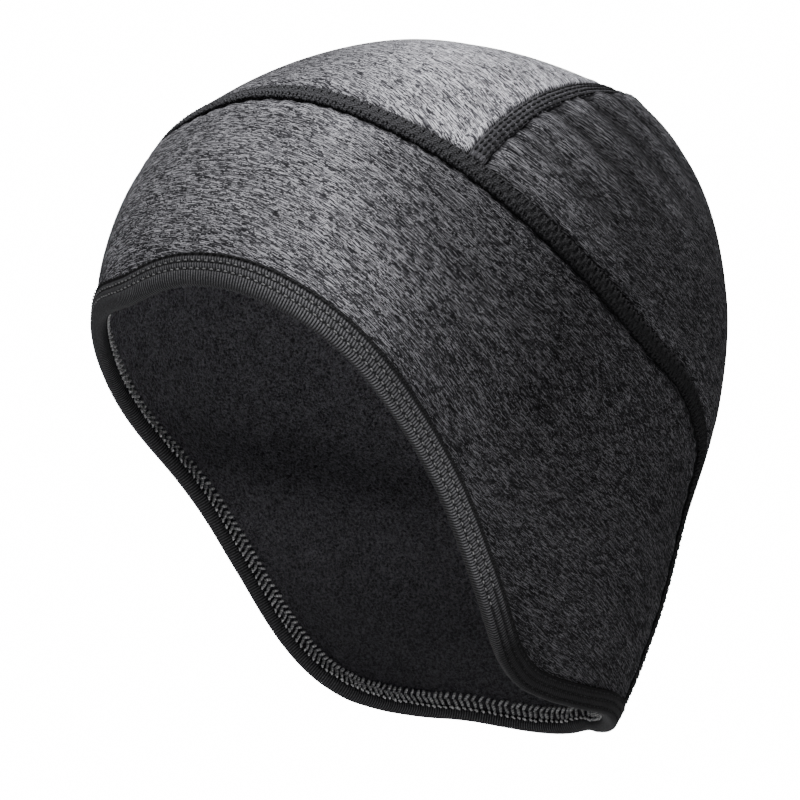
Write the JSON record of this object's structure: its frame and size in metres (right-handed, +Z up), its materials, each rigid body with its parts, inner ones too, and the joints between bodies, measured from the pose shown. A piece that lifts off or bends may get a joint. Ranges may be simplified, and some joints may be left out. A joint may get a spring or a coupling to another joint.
{
  "type": "helmet liner cap",
  "caption": "Close knit cap with ear covers and nape, a gathered rear crown panel, flat seams and a stretch binding folded round the rim; soft lining inside.",
  "frame": {"origin": "inside top of the lining, where the crown of the head carries the cap", "axes": "+Z up out of the crown, the wearer looks along -Y, the wearer's left is +X"},
  "size_m": [0.1686, 0.1936, 0.196],
  "materials": {
    "band_knit": "charcoal heather knit",
    "crown_knit": "grey heather knit",
    "rear_knit": "dark heather knit",
    "long_seam_thread": "black looped thread",
    "cross_seam_strip": "grey strip with stitch rows",
    "lining_fleece": "near-black fleece",
    "rim_binding": "black ribbed stretch binding"
  },
  "bodies": {
    "root": {"band_panel": "band_knit", "crown_front_panel": "crown_knit", "crown_rear_panel": "rear_knit", "long_seam": "long_seam_thread", "cross_seam": "cross_seam_strip", "lining": "lining_fleece", "rim_binding": "rim_binding"}
  },
  "joints": []
}
